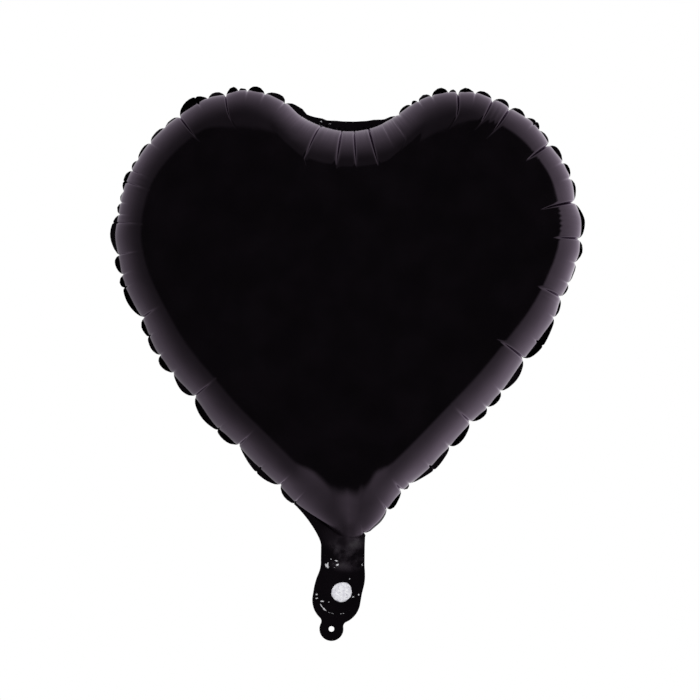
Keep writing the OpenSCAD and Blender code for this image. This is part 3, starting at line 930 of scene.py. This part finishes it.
# Valve
# Two strips of thin pale film welded along both edges, with a pocket at the filling port. Gas goes in
# between them and presses them shut; a heat-proof print keeps the weld across the neck from closing it.
VALVE_T = 0.05
PASSAGE = 0.06
VALVE_GAP = 0.4
SLEEVE_L = 60
WELD_W = 2.5
PRINT_T = 0.02
SLEEVE_X = CHANNEL_W / 2 - VALVE_GAP
SPLIT_Z = 6
SLEEVE_COLUMNS = 33
SLEEVE_ROWS = 100
INLET_SIDES = 40
INLET_ROUND = 60
INLET_ROWS = 26
VALVE_WELD_COLUMNS = 3
VALVE_WELD_ROWS = 50
PRINT_COLUMNS = 11
PRINT_ROWS = 26
VALVE_RIDGES = 5, 5, 5.7
VALVE_CLOUD = 0.72, 0.71, 0.77, 1
VALVE_CLEAR = 0.90, 0.90, 0.93, 1
VALVE_FLECK = 0.42, 0.42, 0.46, 1
PRINT_DARK = 0.30, 0.27, 0.36, 1
PRINT_PALE = 0.52, 0.48, 0.58, 1


def strip(x, z, y):
    """Grid of points of the tail's axes over these widths and heights, at a distance from its plane."""
    flat = x[None, :] + 1j * z[:, None]
    return laid(flat, y)


def valve_film(name, side, hole, puff, rumple):
    """One film of the valve, from its end inside the heart down into the tail's pocket."""
    x = np.linspace(SLEEVE_X, -SLEEVE_X, SLEEVE_COLUMNS)
    z = np.linspace(MOUTH_Z + SLEEVE_L, SPLIT_Z, SLEEVE_ROWS)
    face = SEAL_T / 2
    sleeve = film_grid(name, strip(x, z, side * face))
    rim_points = pocket_edge(SPLIT_Z, INLET_SIDES, INLET_ROUND, VALVE_GAP)
    rim_points = np.append(rim_points, x[::-1][1:-1] + 1j * SPLIT_Z)
    flat = drawn_in(rim_points, PORT_C, hole, INLET_ROWS, PORT_RAGGED)
    bulge = pocket(flat)
    y = side * face - puff * bulge + rumple * bulge * ridges(flat, *VALVE_RIDGES)
    inlet = film_grid("inlet", closed(laid(flat, y)))
    return sewn(name, [sleeve, inlet], (0, side, 0))


def pale_film():
    """Milky film, cloudy and flecked."""
    material, tree, shader, place = finish("pale_film", {"IOR": 1.45})
    cloud, fleck = place.cloud(420, 5), place.cloud(700, 3)
    film = blended(tree, cloud.ramp(0.35, 0.65), VALVE_CLOUD, VALVE_CLEAR)
    uneven = place.node("ShaderNodeBump", {}, {"Strength": 0.4, "Distance": 0.0006, "Height": cloud})
    feed(tree, shader, {
        "Base Color": blended(tree, fleck.ramp(0.60, 0.68), film, VALVE_FLECK),
        "Roughness": cloud.ramp(0.3, 0.7, 0.25, 0.45),
        "Normal": uneven,
    })
    return material


def heat_proof():
    """A matt print of small dots."""
    material, tree, shader, place = finish("heat_proof_print", {"IOR": 1.45})
    dots = place.node("ShaderNodeTexVoronoi", {}, {"Vector": place, "Scale": 900})
    feed(tree, shader, {
        "Base Color": blended(tree, dots.ramp(0.2, 0.5), PRINT_DARK, PRINT_PALE),
        "Roughness": dots.ramp(0.2, 0.6, 0.6, 0.8),
    })
    return material


# each film's side, the hole in it, how far the gas blows its pocket forwards, how rumpled that is, and
# the nodes that it stands for
VALVE_FILMS = {
    "valve_front": (-1, PORT_R, 0.6, 0.0, ("sleeve_front", "inlet_front")),
    "valve_back": (1, 0.0, 0.3, 0.25, ("sleeve_back", "inlet_back")),
}
PALE, PRINT = pale_film(), heat_proof()
for name, (*values, nodes) in VALVE_FILMS.items():
    film = valve_film(name, *values)
    film.data.materials.append(PALE)
    thickened(film, VALVE_T)
    across_neck(film)
    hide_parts(*nodes)

weld_x = np.linspace(SLEEVE_X, SLEEVE_X - WELD_W, VALVE_WELD_COLUMNS)
weld_z = np.linspace(MOUTH_Z + SLEEVE_L, VALVE_GAP, VALVE_WELD_ROWS)
strips = [film_grid("weld", strip(way * weld_x, weld_z, 0)) for way in (1, -1)]
valve_welds = sewn("valve_welds", strips, (0, -1, 0))
thickened(valve_welds, PASSAGE, 0)
valve_welds.data.materials.append(PALE)
across_neck(valve_welds)
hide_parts("sleeve_welds")

print_x = (SLEEVE_X - WELD_W - VALVE_GAP) * np.linspace(1, -1, PRINT_COLUMNS)
print_z = np.linspace(MOUTH_Z + NECK_H, VALVE_GAP, PRINT_ROWS)
print_grid = film_grid("release_coat", strip(print_x, print_z, PASSAGE / 2))
print_film = sewn("release_coat", [print_grid], (0, 1, 0))
thickened(print_film, PRINT_T)
print_film.data.materials.append(PRINT)
across_neck(print_film)
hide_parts("release_print")

# Tie tab
# The rounded end of both panels below the tail, welded over its whole face and punched with a hole
# for a ribbon. It folds where it joins the tail; here it is left unfolded.
TIE_R = 2.2
TAB_WELD_T = 0.06
TAB_ROWS = 12
TAB_FOLD_HALF = 2
FILLET_STEPS = 12
TAB_STEPS = 30
TAB_TOP_STEPS = 22
tab_end_a = np.angle(ROOT_C - TAB_C)
fillet_a = np.linspace(BAG_END_A + math.pi, math.pi + tab_end_a, FILLET_STEPS) % (2 * math.pi)
fillet = ROOT_C + FILLET_R * turn(fillet_a)
tab_round = TAB_C + TAB_R * turn(np.linspace(tab_end_a, -math.pi / 2, TAB_STEPS))
tab_side = np.append(fillet, tab_round[1:])
tab_top = tab_side[0].real * np.linspace(-1, 1, TAB_TOP_STEPS)[1:-1] + 1j * tab_side[0].imag
TAB_EDGE = np.concatenate([tab_side, -tab_side[-2::-1].conj(), tab_top])


def tab_sheet(name, y, facing):
    """One layer of the tab with its hole, at a distance from the tab's plane."""
    flat = drawn_in(TAB_EDGE, TAB_C, TIE_R, TAB_ROWS)
    return sewn(name, [film_grid(name, closed(laid(flat, y)))], (0, facing, 0))


def on_tab(piece):
    """Bakes a film of the tab's placement into its mesh; the fold at the tail's end that it works out is
    not used.
    """
    fold, down = leaning(1j * ROOT_C.imag), turn(-LEAN) * -1j
    ends = [fold - TAB_FOLD_HALF * down, fold + TAB_FOLD_HALF * down]
    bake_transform(piece)


tab_face = TAB_WELD_T / 2 + FILM_T
for side, name, node in ((-1, "tab_front", "tab_front_film"), (1, "tab_back", "tab_back_film")):
    film = tab_sheet(name, side * tab_face, side)
    film.data.materials.append(INK)
    film.data.materials.append(METAL)
    thickened(film, FILM_T)
    on_tab(film)
    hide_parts(node)
tab_weld = tab_sheet("tab_weld", 0, -1)
thickened(tab_weld, TAB_WELD_T, 0)
tab_weld.data.materials.append(WELDED)
on_tab(tab_weld)
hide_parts("tab_seal")

# Studio
# A pale floor well below, white all round, and in the film's reflections a room that is dark in front of
# the balloon and light at its sides. Sizes are in metres.
FLOOR_Z = -0.6
FLOOR_X = 3
FLOOR_FRONT = -0.35
FLOOR_BACK = 3
FLOOR_PALE = 0.86, 0.86, 0.87, 1
bpy.ops.mesh.primitive_plane_add(size=1)
floor = bpy.context.object
floor.name = "floor"
floor_corners = [(x, y, FLOOR_Z) for y in (FLOOR_FRONT, FLOOR_BACK) for x in (-FLOOR_X, FLOOR_X)]
floor.data.vertices.foreach_set("co", np.array(floor_corners, np.float32).ravel())
floor.data.materials.append(finish("pale_floor", {"Base Color": FLOOR_PALE, "Roughness": 0.7})[0])
floor.visible_glossy = False

# by direction round the view, from the left through the bottom, the right and the top to the left:
# how light the room is, how far the dark front reaches, how much the light fades towards it and how
# much of it there is straight behind
ROOM = (
    (0.00, 0.45, 0.12, 0.75, 0.75), (0.10, 0.47, 0.16, 0.75, 0.50), (0.18, 0.66, 0.25, 0.68, 0.45),
    (0.25, 1.00, 0.33, 0.40, 1.00), (0.32, 1.00, 0.25, 0.64, 0.60), (0.41, 1.00, 0.12, 0.68, 0.70),
    (0.45, 1.00, 0.04, 0.50, 0.90), (0.47, 1.00, 0.02, 0.32, 1.00), (0.50, 1.00, 0.04, 0.15, 1.00),
    (0.54, 1.00, -0.03, 0.20, 1.00), (0.58, 0.98, -0.05, 0.30, 1.00), (0.67, 0.85, 0.05, 0.65, 1.00),
    (0.71, 0.65, 0.20, 0.80, 1.00), (0.75, 0.60, 0.35, 0.88, 1.00), (0.79, 0.58, 0.35, 0.86, 1.00),
    (0.83, 0.56, 0.20, 0.82, 1.00), (0.92, 0.54, 0.12, 0.78, 1.00), (1.00, 0.45, 0.12, 0.75, 0.75))
DARK = 0.05
CUT_W = 0.09
FADE = -0.6, 0.1
BEHIND = -1.0, -0.5
# a ramp's colours aren't negative, so the dark front's reach is kept in them with this added
SHIFT = 0.5
world = bpy.data.worlds.new("studio")
bpy.context.scene.world = world
world.use_nodes = True
sky = world.node_tree
sky.nodes.clear()
direction = add_node(sky, "ShaderNodeTexCoord", output="Generated")
to_right, to_back, to_top = (
    add_node(sky, "ShaderNodeSeparateXYZ", {}, {"Vector": direction}, k) for k in range(3))
camera_ray, glossy_ray = (
    add_node(sky, "ShaderNodeLightPath", output=name) for name in ("Is Camera Ray", "Is Glossy Ray"))
around = to_top.sum("ARCTAN2", to_top, to_right) * (0.5 / math.pi) + 0.5
wheel = add_node(sky, "ShaderNodeValToRGB", {}, {"Fac": around})
stops = wheel.socket.node.color_ramp.elements
while len(stops) < len(ROOM):
    stops.new(0.5)
for stop, values in zip(stops, ROOM):
    stop.position = values[0]
for stop, (at, light, reach, fade, behind) in zip(stops, ROOM):
    stop.color = (light, reach + SHIFT, fade, behind)
light, reach, fade = (add_node(sky, "ShaderNodeSeparateColor", {}, {0: wheel}, k) for k in range(3))
behind, reach = Value(sky, wheel.socket.node.outputs["Alpha"]), reach - SHIFT
front = to_back * -1
faded = (1 - fade * front.ramp(*FADE)) * (1 - (1 - behind) * front.ramp(*BEHIND, 1.0, 0.0))
room = light * faded * front.ramp(reach - CUT_W, reach, 1.0, 0.0) * (1 - DARK) + DARK
seen = glossy_ray * room + (1 - glossy_ray)
level = camera_ray + (1 - camera_ray) * seen
background = add_node(sky, "ShaderNodeBackground", {}, {"Color": (1, 1, 1, 1), "Strength": level})
feed(sky, sky.nodes.new("ShaderNodeOutputWorld"), {"Surface": background})

FRAME_W = 0.56
SENSOR_W = 36
CAMERA_AT = Vector((0.0038, -3.0, 0.1705))
CAMERA_ROLL = math.radians(-0.69)
camera = bpy.data.objects.new("camera", bpy.data.cameras.new("camera"))
bpy.context.collection.objects.link(camera)
camera.location = CAMERA_AT
camera.rotation_euler = (math.radians(90), CAMERA_ROLL, 0)
camera.data.sensor_width = SENSOR_W
camera.data.lens = SENSOR_W * abs(CAMERA_AT.y) / FRAME_W
bpy.context.scene.camera = camera
bpy.context.scene.view_settings.view_transform = "Standard"
